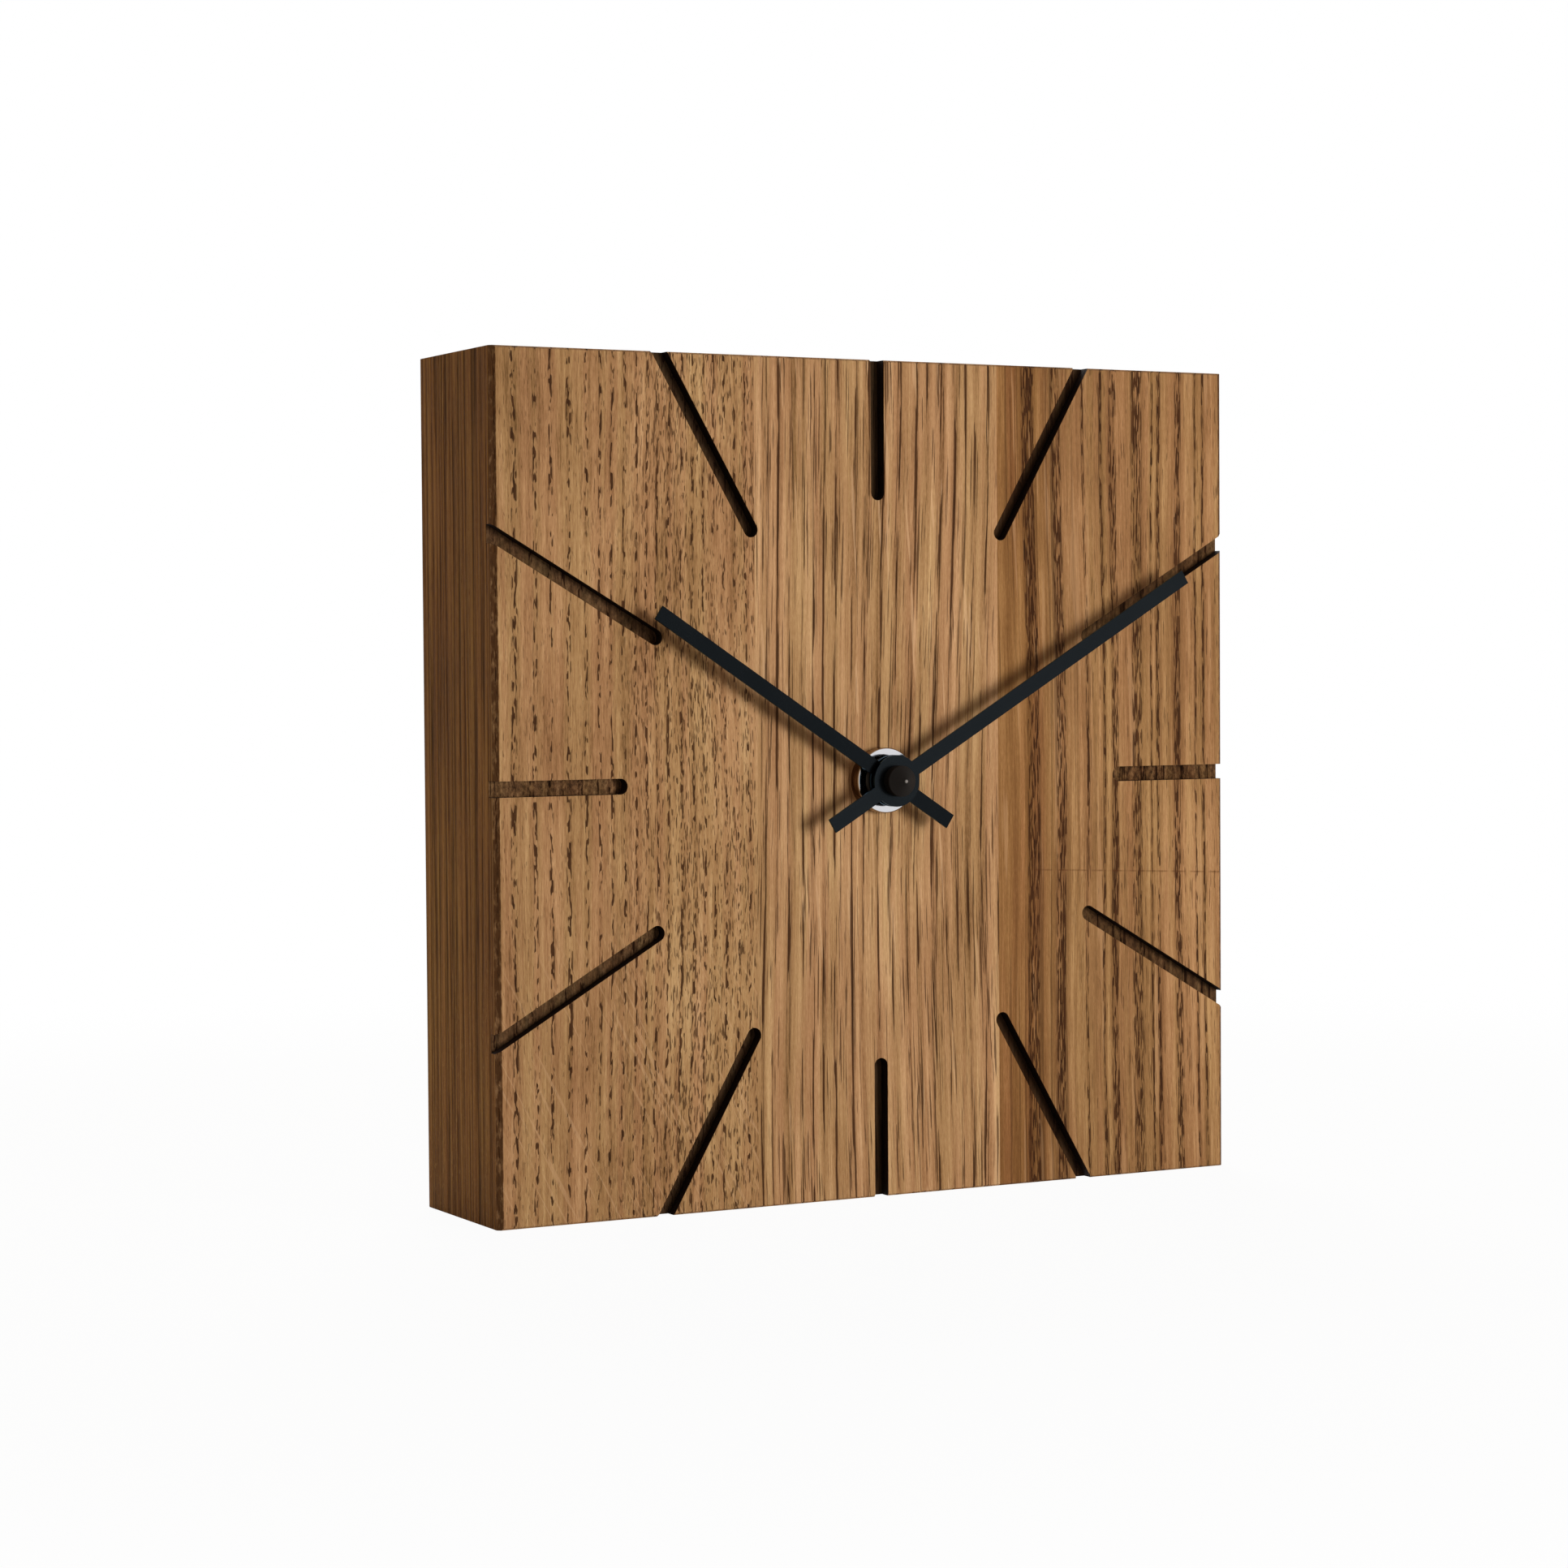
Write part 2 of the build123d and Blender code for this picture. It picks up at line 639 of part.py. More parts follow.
seconds_pinion_size = (seconds_pinion_teeth, seconds_pinion_radius)
with BuildPart() as seconds_wheel:
    toothed(third_y, (0, 0), *seconds_pinion_size, length=seconds_y - third_y)
    toothed(seconds_y, (0, 0), seconds_teeth, seconds_rim_radius, seconds_phase)
    disc(minute_hand_y, boss_y + pivot_length, seconds_radius)
finish(seconds_wheel, "seconds_wheel")

intermediate_pinion_y = plate_back_y + end_play
intermediate_pinion_length = intermediate_y - intermediate_pinion_y
intermediate_pinion_size = (intermediate_pinion_teeth, intermediate_pinion_radius)
with BuildPart() as intermediate_wheel:
    toothed(
        intermediate_pinion_y,
        intermediate_at,
        *intermediate_pinion_size,
        length=intermediate_pinion_length,
    )
    toothed(intermediate_y, intermediate_at, intermediate_teeth, intermediate_rim_radius)
    disc(plate_y + end_play, boss_y + pivot_length, arbor_radius, intermediate_at)
finish(intermediate_wheel, "intermediate_wheel")

with BuildPart() as rotor_pinion:
    toothed(intermediate_y, rotor_at, rotor_teeth, rotor_pinion_radius, rotor_phase)
    disc(plate_y + end_play, boss_y + pivot_length, arbor_radius, rotor_at)
finish(rotor_pinion, "rotor_pinion")

# Motor: magnet, stator, core, bobbin and winding
with BuildPart() as rotor_magnet:
    disc(magnet_y, magnet_y + magnet_height, magnet_radius, rotor_at)
    disc(magnet_y, magnet_y + magnet_height, arbor_radius, rotor_at, Mode.SUBTRACT)
finish(rotor_magnet, "rotor_magnet")

with BuildPart() as stator:
    block(stator_y, stator_back_y, stator_left, stator_right, stator_low, stator_low + stator_band)
    block(stator_y, stator_back_y, stator_left, stator_left + stator_arm, stator_low, stator_high)
    block(stator_y, stator_back_y, stator_right - stator_arm, stator_right, stator_low, stator_high)
    disc(stator_y, stator_back_y, stator_ring_radius, rotor_at)
    disc(stator_y, stator_back_y, magnet_radius + magnet_gap, rotor_at, Mode.SUBTRACT)
finish(stator, "stator")

core_low = coil_up - core_width / 2
core_high = coil_up + core_width / 2
with BuildPart() as coil_core:
    block(stator_back_y, core_back_y, stator_left, stator_right, core_low, core_high)
finish(coil_core, "coil_core")

coil_y = (stator_back_y + core_back_y) / 2
bore_depth = core_thickness + 2 * core_gap
bore_height = core_width + 2 * core_gap
tube_depth = bore_depth + 2 * bobbin_wall
tube_height = bore_height + 2 * bobbin_wall
bobbin_start = square_to_bay(coil_y, bobbin_left, coil_up)
bobbin_end = square_to_bay(coil_y, bobbin_right - coil_flange_thickness, coil_up)
with BuildPart() as coil_bobbin:
    with BuildSketch(bobbin_start):
        Rectangle(tube_depth, tube_height)
    extrude(amount=bobbin_right - bobbin_left)
    with BuildSketch(bobbin_start, bobbin_end):
        Rectangle(coil_flange, coil_flange)
    extrude(amount=coil_flange_thickness)
    with BuildSketch(bobbin_start):
        Rectangle(bore_depth, bore_height)
    extrude(amount=bobbin_right - bobbin_left, mode=Mode.SUBTRACT)
finish(coil_bobbin, "coil_bobbin")

with BuildPart() as coil_winding:
    with BuildSketch(square_to_bay(coil_y, bobbin_left + coil_flange_thickness, coil_up)):
        RectangleRounded(tube_depth + 2 * coil_build, coil_flange - bobbin_wall, coil_corner)
        Rectangle(tube_depth, tube_height, mode=Mode.SUBTRACT)
    extrude(amount=bobbin_right - bobbin_left - 2 * coil_flange_thickness)
finish(coil_winding, "coil_winding")

# Circuit board, chip and crystal
with BuildPart() as circuit_board:
    block(board_y, board_back_y, board_left, board_right, board_low, board_high)
finish(circuit_board, "circuit_board")

with BuildPart() as control_chip:
    with BuildSketch(face(board_back_y)):
        with Locations(board_middle):
            Rectangle(chip_size, chip_size)
    extrude(amount=-chip_height, taper=chip_draft)
finish(control_chip, "control_chip")

crystal_y = board_back_y + crystal_radius
crystal_left = board_middle[0] - chip_size - crystal_length
crystal_up = board_low + 2 * crystal_radius
with BuildPart() as quartz_crystal:
    with BuildSketch(square_to_bay(crystal_y, crystal_left, crystal_up)):
        Circle(crystal_radius)
    extrude(amount=crystal_length)
finish(quartz_crystal, "quartz_crystal")

# Battery and its contacts
with BuildPart() as battery:
    with BuildSketch(square_to_bay(battery_y, battery_left, battery_up)):
        Circle(battery_radius)
    extrude(amount=battery_length)
    with BuildSketch(square_to_bay(battery_y, battery_right, battery_up)):
        Circle(battery_nub_radius)
    extrude(amount=battery_nub)
finish(battery, "battery")

contact_front_y = battery_y - contact_depth / 2
contact_back_y = battery_y + contact_depth / 2
contact_low = battery_up - contact_width / 2
contact_high = battery_up + contact_width / 2
foot_high = board_low + strip_width
foot_right = board_left + strip_width
with BuildPart() as negative_contact:
    block(contact_front_y, contact_back_y, -half_inside, -contact_inside, contact_low, contact_high)
    with BuildSketch(square_to_bay(battery_y, -contact_inside, battery_up)):
        Circle(contact_dimple_radius)
    extrude(amount=battery_left - contact_touch_gap + contact_inside)
    # tail up the left wall, with a foot under the board
    block(tail_y, board_y, -half_inside, -contact_inside, battery_up, foot_high)
    block(board_y - contact_thickness, board_y, -half_inside, foot_right, board_low, foot_high)
finish(negative_contact, "negative_contact")

strip_back_y = inside_y + contact_thickness
strip_high = bay_high - strip_gap
strip_low = strip_high - strip_width
riser_low = board_low + 2 * strip_width
riser_high = riser_low + contact_thickness
with BuildPart() as positive_contact:
    block(inside_y, contact_back_y, contact_inside, half_inside, contact_low, contact_high)
    with BuildSketch(square_to_bay(battery_y, battery_end + contact_touch_gap, battery_up)):
        Circle(contact_dimple_radius)
    extrude(amount=contact_inside - battery_end - contact_touch_gap)
    # strip along the floor of the bay, up the chamber floor, and a riser to the board
    block(inside_y, strip_back_y, contact_inside, half_inside, battery_up, strip_high)
    block(inside_y, strip_back_y, lead_left, half_inside, strip_low, strip_high)
    block(inside_y, strip_back_y, lead_left, lead_right, strip_low, riser_high)
    block(inside_y, board_y, lead_left, lead_right, riser_low, riser_high)
finish(positive_contact, "positive_contact")
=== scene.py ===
import math

import bpy
import numpy as np
from mathutils import Matrix, Vector


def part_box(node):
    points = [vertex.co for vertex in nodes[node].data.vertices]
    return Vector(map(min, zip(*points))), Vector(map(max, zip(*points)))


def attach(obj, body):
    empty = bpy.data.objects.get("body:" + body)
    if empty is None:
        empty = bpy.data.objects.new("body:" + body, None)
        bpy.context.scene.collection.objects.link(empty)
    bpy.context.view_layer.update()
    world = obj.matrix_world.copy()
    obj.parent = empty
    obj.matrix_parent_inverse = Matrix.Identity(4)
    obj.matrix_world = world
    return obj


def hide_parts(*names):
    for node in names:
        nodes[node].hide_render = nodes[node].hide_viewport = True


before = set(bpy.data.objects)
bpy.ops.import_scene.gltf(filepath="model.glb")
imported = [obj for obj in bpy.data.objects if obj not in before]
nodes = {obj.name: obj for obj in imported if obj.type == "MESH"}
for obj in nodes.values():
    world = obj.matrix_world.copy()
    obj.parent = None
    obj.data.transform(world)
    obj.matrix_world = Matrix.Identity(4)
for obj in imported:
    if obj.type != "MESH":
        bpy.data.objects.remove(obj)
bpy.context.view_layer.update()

# Units, and sizes in metres read from the frame
mm = 0.001
per_mm = 1 / mm
nut_low, nut_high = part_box("round_nut")
cap_low, cap_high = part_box("hand_cap")
cell_low, cell_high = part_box("battery")
hub_z = (nut_low.z + nut_high.z) / 2

# Sizes in millimetres for the wood's pattern
half_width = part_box("right_stave")[1].x * per_mm
face_depth = -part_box("centre_stave")[0].y * per_mm
hub_height = hub_z * per_mm
groove_count = 12
groove_width = 2.75
groove_depth = 2.4
arris = 0.9
side_line_pitch = 2.3
wander_size = 7.0

# Soft edges in millimetres: where a mask is 0 and where it is 1, each from a base
groove_start_edge = (40.0, 41.0)
groove_wall_edge = (0.06, 0.02)
groove_lip_edge = (0.03, 0.2)
under_floor_edge = (0.12, 0.04)
groove_floor_edge = (-0.1, -0.02)
ray_top_edge = (12.0, -12.0)
scribe_start_edge = (-1.0, 1.0)
scribe_line_edge = (0.24, 0.06)
arris_edge = (-0.12, 0.02)

# Soft edge of the pores' reach, in shares of half a ring
pore_reach_edge = (-0.12, 0.1)

# How strongly each kind of mark covers the wood's own colour
end_grain_share = 0.45
side_line_share = 0.9
pore_share = 0.94
scribe_share = 0.55
arris_share = 0.92


def rgb(red, green, blue):
    """Colour for a shader from the usual 0 to 255 values.

    Each share s of 255 becomes ((s + 0.055) / 1.055) ** 2.4, or s / 12.92 where it is very dark.
    """
    shares = [value / 255 for value in (red, green, blue)]
    return tuple(s / 12.92 if s <= 0.04045 else ((s + 0.055) / 1.055) ** 2.4 for s in shares) + (1.0,)


class Socket:
    """One output of a node. Sums and products of sockets and numbers add Math nodes to its tree."""

    def __init__(self, tree, output):
        self.tree = tree
        self.output = output

    def node(self, kind, settings=None, inputs=None, output=0):
        """Adds a node, sets its settings first and then its sockets, and returns one of its outputs."""
        made = self.tree.nodes.new(kind)
        for name, value in (settings or {}).items():
            if name == "stops":
                elements = made.color_ramp.elements
                while len(elements) < len(value):
                    elements.new(1.0)
                for stop, (position, colour) in zip(elements, value):
                    stop.position = position
                    stop.color = colour
            else:
                setattr(made, name, value)
        for name, value in (inputs or {}).items():
            if isinstance(value, Socket):
                self.tree.links.new(value.output, made.inputs[name])
            else:
                made.inputs[name].default_value = value
        return Socket(self.tree, made.outputs[output])

    def beside(self, output):
        """Another output of the same node."""
        return Socket(self.tree, self.output.node.outputs[output])

    def math(self, operation, *values):
        """Math node on the given values."""
        return self.node("ShaderNodeMath", {"operation": operation}, dict(enumerate(values)))

    def __add__(self, other):
        return self.math("ADD", self, other)

    __radd__ = __add__

    def __sub__(self, other):
        return self.math("SUBTRACT", self, other)

    def __rsub__(self, other):
        return self.math("SUBTRACT", other, self)

    def __mul__(self, other):
        return self.math("MULTIPLY", self, other)

    __rmul__ = __mul__

    def __truediv__(self, other):
        return self.math("DIVIDE", self, other)

    def __abs__(self):
        return self.math("ABSOLUTE", self)


def distance(a, b):
    """Length of the step (a, b): the square root of a * a + b * b."""
    return a.math("SQRT", a * a + b * b)


def smooth(value, low, high):
    """Share from 0 at low to 1 at high with soft ends; low may be the larger one."""
    ends = {"Value": value, "From Min": low, "From Max": high}
    return value.node("ShaderNodeMapRange", {"interpolation_type": "SMOOTHSTEP"}, ends)


def edge(value, base, ends):
    """Share from 0 to 1 between two ends that are given from a base."""
    return smooth(value, base + ends[0], base + ends[1])


def either(a, b):
    """The larger of two masks."""
    return a.math("MAXIMUM", a, b)


def border_of(lane):
    """1 where one lane meets the next, and 0 in a lane's middle, for lanes 1 wide."""
    return abs(lane - lane.math("FLOOR", lane) - 0.5) * 2


def blend(share, first, second, how="MIX"):
    """Colour from first at share 0 to second at share 1, or the two combined as how says."""
    settings = {"data_type": "RGBA", "blend_type": how}
    return share.node("ShaderNodeMix", settings, {0: share, 6: first, 7: second}, 2)


def ramp(share, *stops):
    """Colour ramp along a share."""
    return share.node("ShaderNodeValToRGB", {"stops": stops}, {"Fac": share})


def stretched(place, across, depth, along):
    """Coordinates multiplied by a number for each axis."""
    factors = (across, depth, along)
    return place.node("ShaderNodeVectorMath", {"operation": "MULTIPLY"}, {0: place, 1: factors})


def shifted(place, x, y, z):
    """Coordinates moved by a constant step."""
    return place.node("ShaderNodeVectorMath", {"operation": "ADD"}, {0: place, 1: (x, y, z)})


def combined(x, y, z):
    """Vector of three values, the first of which is a socket."""
    return x.node("ShaderNodeCombineXYZ", None, {0: x, 1: y, 2: z})


def split(place):
    """The three parts of a vector."""
    first = place.node("ShaderNodeSeparateXYZ", None, {0: place})
    return first, first.beside(1), first.beside(2)


def noise(place, scale=1.0, detail=2.0, roughness=0.5):
    """Cloudy noise from 0 to 1."""
    inputs = {"Vector": place, "Scale": scale, "Detail": detail, "Roughness": roughness}
    return place.node("ShaderNodeTexNoise", None, inputs)


def grain_noise(place, across, along, shift=(0, 0, 0), detail=2.0, roughness=0.5):
    """Noise with so many features per mm across the grain and along it, moved by a shift."""
    return noise(shifted(stretched(place, across, across, along), *shift), 1.0, detail, roughness)


def begin(name):
    """New material and its Object coordinates in millimetres."""
    material = bpy.data.materials.new(name)
    material.use_nodes = True
    coordinates = material.node_tree.nodes.new("ShaderNodeTexCoord")
    coordinates.name = "coordinates"
    metres = Socket(material.node_tree, coordinates.outputs["Object"])
    return material, stretched(metres, per_mm, per_mm, per_mm)


def facing(place):
    """The three parts of the surface's direction, for the coordinates that begin gave."""
    return split(Socket(place.tree, place.tree.nodes["coordinates"].outputs["Normal"]))


def close(material, inputs, height, depth):
    """Feeds the material's shader, with a bump of the given height share and depth in metres."""
    shader = material.node_tree.nodes["Principled BSDF"]
    relief = {"Strength": 1.0, "Distance": depth, "Height": height}
    bump = height.node("ShaderNodeBump", None, relief)
    for name, value in {**inputs, "Normal": bump}.items():
        if isinstance(value, Socket):
            material.node_tree.links.new(value.output, shader.inputs[name])
        else:
            shader.inputs[name].default_value = value
    return material


def groove_masks(x, y, z):
    """Masks of the hour grooves: inside a groove, how level that groove runs, and its floor.

    With rho and theta the place round the shaft, theta is folded to the nearest of the twelve bearings.
    A point is in a groove where rho * sin(fold) is under half the width, well out from the shaft, below
    the face and not under the groove's floor.
    """
    up = z - hub_height
    rho = distance(x, up)
    theta = x.math("ARCTAN2", up, x)
    step = 2 * math.pi / groove_count
    fold = theta - step * theta.math("ROUND", theta / step)
    aside = abs(rho * fold.math("SINE", fold))
    in_width = edge(aside, groove_width / 2, groove_wall_edge)
    outside = edge(rho, 0, groove_start_edge)
    below = edge(y, -face_depth, groove_lip_edge)
    above_floor = edge(y, groove_depth - face_depth, under_floor_edge)
    on_floor = edge(y, groove_depth - face_depth, groove_floor_edge)
    level = smooth(abs(x) / rho, 0.55, 0.98)
    return in_width * outside * below * above_floor, level, on_floor


def bent_grain(place, seed, ripple):
    """Place moved across the grain by a slow wander and a quick ripple, and that wander alone."""
    x, y, z = split(place)
    wander = (grain_noise(place, 0.016, 0.007, (seed, seed, seed), 1.0) - 0.5) * wander_size
    wave = (grain_noise(place, 0.25, 0.05, (seed, 0, seed)) - 0.5) * ripple
    return combined(x + wander + wave, y, z), wander


def ring_border(bent, pith, ring, jitter, seed):
    """1 where two growth rings meet and 0 midway between them.

    The rings are cylinders round a pith line at (x, y) = pith. The lane is the distance from the pith
    over the ring's width, made uneven by slow noise and, by the jitter, by quick noise.
    """
    x, y, _ = split(bent)
    from_pith = distance(x - pith[0], y - pith[1])
    slow = (noise(combined(from_pith * 0.11, seed, 0.0), detail=1.0) - 0.5) * 2.4
    quick = (noise(combined(from_pith * 0.45, seed, 5.0), detail=2.0) - 0.5) * jitter
    return border_of(from_pith / ring + (slow + quick))


def grain_colour(place, bent, figure, tones, seed):
    """Wood's own colour: the tones along its figure, grit and slow clouds, with a warm or cool cast."""
    grit = grain_noise(bent, 5.5, 0.8, (0, 0, seed), 2.0, 0.6)
    cloud = grain_noise(place, 0.05, 0.025, (0, 0, seed))
    tone = 0.5 + 0.4 * (grit - 0.5) + 0.5 * (cloud - 0.5) + figure
    colour = ramp(tone, *zip((0.2, 0.42, 0.58, 0.82), tones))
    warmth = smooth(grain_noise(bent, 0.4, 0.012, (seed, 3, 0)), 0.36, 0.64)
    colour = blend(warmth, colour, rgb(254, 250, 244), "MULTIPLY")
    return blend(1 - warmth, colour, rgb(250, 253, 240), "MULTIPLY")


def pale_rays(place, seed, lean, across, along, start, full, share, top=None):
    """Pale flecks of the wood's rays, which lean across the grain, up to a height where it is given."""
    x, y, z = split(place)
    leaning = combined(x + z * lean, y, z)
    flecks = smooth(grain_noise(leaning, across, along, (0, seed, 0)), start, full) * share
    return flecks if top is None else flecks * edge(z, top, ray_top_edge)


def pore_marks(
    bent, border, seed, across, along, start, full, reach=None, weight=1.0, fade=None, detail=1.0
):
    """Dark pores: noise drawn out along the grain, shown from start and full at full.

    Across and along are its features per mm, and slow noise makes the pores denser here than there. With
    a reach, they keep near the rings' borders; with a fade, they come in from its first place across to
    its second.
    """
    drawn = grain_noise(bent, across, along, (0, seed, 0), detail, 0.45)
    density = grain_noise(bent, 0.22, 0.035, (seed, 0, 0), 1.0) - 0.5
    marks = smooth(drawn + 0.22 * density, start, full) * weight
    if reach is not None:
        marks = marks * edge(border, reach, pore_reach_edge)
    if fade is not None:
        marks = marks * smooth(split(bent)[0], *fade)
    return marks


def side_grain(bent, broad, seed):
    """Close lines along the grain, as the sides of a stave show them."""
    drift = grain_noise(bent, 0.35, 0.004, (seed, seed, 0))
    lane = split(bent)[1] / side_line_pitch + 3.4 * drift
    return smooth(border_of(lane), 0.2, 1.0) * smooth(broad, 0.3, 0.6)


def scribed_line(place, ahead, start_x, height, slope):
    """Faint broken line across the front from start_x on, at z = height + slope * x."""
    x, _, z = split(place)
    line = smooth(abs(z - height - slope * x), *scribe_line_edge)
    broken = smooth(grain_noise(place, 0.5, 0.0), 0.35, 0.6)
    return line * edge(x, start_x, scribe_start_edge) * broken * smooth(ahead, -0.5, -0.9)


def darker_arris(place):
    """Mask of the upright arrises beside the face, with a ragged border."""
    x, y, _ = split(place)
    ragged = (grain_noise(place, 1.2, 0.5, detail=3.0, roughness=0.6) - 0.5) * 0.4
    past_arris = abs(x) - y - (half_width + face_depth - arris)
    return smooth(past_arris + ragged, *arris_edge)


def grooved(place, colour):
    """Colour in the grooves: near-black walls, partly char and partly painted shade, and floors that are
    paler where a groove runs level and near-black, as painted shade, where it runs upright.
    """
    inside, level, on_floor = groove_masks(*split(place))
    speckle = noise(stretched(place, 1.0, 1.0, 0.55), 1.3, 4.0, 0.75)
    burnt = ramp(speckle, (0.36, rgb(92, 86, 84)), (0.52, rgb(166, 160, 158)), (0.66, rgb(216, 213, 212)))
    # Near-black tone of the groove walls and of the floors in upright grooves: partly char, partly painted
    # shade.
    char_and_shade = ramp(speckle, (0.4, rgb(18, 9, 5)), (0.7, rgb(40, 22, 12)))
    floor_tone = blend(level, colour, burnt, "MULTIPLY")
    # The floors of upright grooves, which the side light doesn't reach, keep the near-black tone as painted
    # shade.
    lit_floor_share = on_floor * (0.1 + 0.9 * level.math("POWER", level, 4.0))
    return blend(inside, colour, blend(lit_floor_share, char_and_shade, floor_tone))


def oak(
    name, pith, ring, tones, layers, seed, ripple, fibre, streak, stripe, rays,
    jitter=0.0, band=None, scribe=None,
):
    """Oiled oak with its grain along Z; lengths are in mm.

    Fibre and streak are a fine and a broad noise drawn out along the grain, each with its share of the
    tone, and stripe is the share of the rings. Layers are the pores, rays the pale flecks. A band
    (low, high, tint) tints the wood below a place across, and scribe is a scribed line.
    """
    material, place = begin(name)
    bent, wander = bent_grain(place, seed, ripple)
    border = ring_border(bent, pith, ring, jitter, seed)
    fine = grain_noise(bent, 4.2, 1 / fibre["length"], (seed, 0, 0), 3.0, 0.7)
    broad = grain_noise(bent, 1 / streak["width"], 1 / streak["length"], (0, seed, 0), 3.0, 0.62)
    figure = fibre["share"] * (fine - 0.5) + streak["share"] * (broad - 0.5) + stripe * (0.5 - border)
    colour = grain_colour(place, bent, figure, tones, seed)
    if band:
        low, high, tint = band
        colour = blend(smooth(split(place)[0] + 0.6 * wander, high, low), colour, tint, "MULTIPLY")
    colour = blend(pale_rays(place, seed, **rays), colour, tones[-1])

    # the sides get a darker warm tint, which is painted shade, and the end grain on the top and underside is
    # darker
    beside, ahead, above = facing(place)
    side = smooth(abs(beside), 0.8, 0.95)
    end_grain = smooth(abs(above), 0.6, 0.9)
    colour = blend(side, colour, rgb(250, 230, 178), "MULTIPLY")
    colour = blend(end_grain * end_grain_share, colour, rgb(92, 60, 36))

    pores = side_grain(bent, broad, seed) * side * side_line_share
    for number, layer in enumerate(layers):
        marks = pore_marks(bent, border, seed + 7 * number, **layer)
        pores = either(pores, marks * (1 - 0.8 * side))
    pore_tone = ramp(fine, (0.35, rgb(38, 21, 12)), (0.65, rgb(74, 44, 25)))
    colour = blend(pores * pore_share, colour, pore_tone)

    if scribe:
        colour = blend(scribed_line(place, ahead, *scribe) * scribe_share, colour, rgb(84, 46, 24))
    # The upright arrises beside the face are coloured darker, with a ragged border.
    arris_tone = ramp(fine, (0.3, rgb(62, 36, 16)), (0.7, rgb(92, 58, 29)))
    colour = blend(darker_arris(place) * (1 - side) * arris_share, colour, arris_tone)
    inputs = {
        "Base Color": grooved(place, colour),
        "Roughness": 0.66 + 0.2 * (fine - 0.5) + 0.2 * pores,
        "Specular IOR Level": 0.1,
    }
    return close(material, inputs, 0.5 * fine - 1.0 * pores, 0.14 * mm)


def spaced(constants):
    """Shader constants with the spaces of their sockets' names."""
    return {key.replace("_", " "): value for key, value in constants.items()}


def plain(name, colour, worn, roughness, grain, bump, dull_sides=False, **constants):
    """Moulded, painted or metal finish: two close tones and a fine even grain, with its bump in metres.

    With dull_sides, surfaces that don't face along Y count as metal, so they mirror only the dark colour.
    """
    material, place = begin(name)
    cloud = noise(place, 0.18, 3.0)
    fine = noise(place, grain, 3.0, 0.6)
    tone = smooth(0.6 * cloud + 0.4 * fine, 0.35, 0.65)
    inputs = {"Base Color": blend(tone, colour, worn), "Roughness": roughness + 0.12 * (fine - 0.5)}
    inputs.update(spaced(constants))
    if dull_sides:
        inputs["Metallic"] = smooth(abs(facing(place)[1]), 0.95, 0.8)
    return close(material, inputs, fine, bump)


def turned(name, colour, roughness, pitch, bump, painted_light=None, **constants):
    """Metal turned about the shaft, with rings of one pitch in mm and a bump in metres.

    Rho is the distance from the shaft in mm. A ring of painted light (start, full, colour) has another tone
    by its rho.
    """
    material, place = begin(name)
    x, y, z = split(place)
    rho = distance(x, z - hub_height)
    line = noise(combined(rho / pitch, y / pitch, 0.0), 1.0, 2.0)
    tone = colour if painted_light is None else blend(smooth(rho, *painted_light[:2]), colour, painted_light[2])
    inputs = {"Base Color": tone, "Metallic": 1.0, "Roughness": roughness + 0.12 * (line - 0.5)}
    inputs.update(spaced(constants))
    return close(material, inputs, line, bump)


def jacket(name):
    """Battery: coloured jacket with a pale band, and bright end caps, told apart by the place along X."""
    material, place = begin(name)
    low, high = cell_low.x * per_mm, cell_high.x * per_mm
    along = (split(place)[0] - low) / (high - low)
    fine = noise(place, 3.0, 3.0)
    body = blend(smooth(along, 0.70, 0.705), rgb(58, 78, 104), rgb(196, 198, 196))
    metal = either(smooth(along, 0.03, 0.026), smooth(along, 0.955, 0.959))
    colour = blend(metal, body, rgb(200, 200, 198))
    inputs = {"Base Color": colour, "Metallic": metal, "Roughness": 0.34 + 0.1 * fine}
    return close(material, inputs, fine, 0.01 * mm)


def wood_tones(*colours):
    """Ramp colours from 0 to 255 triples."""
    return [rgb(*colour) for colour in colours]


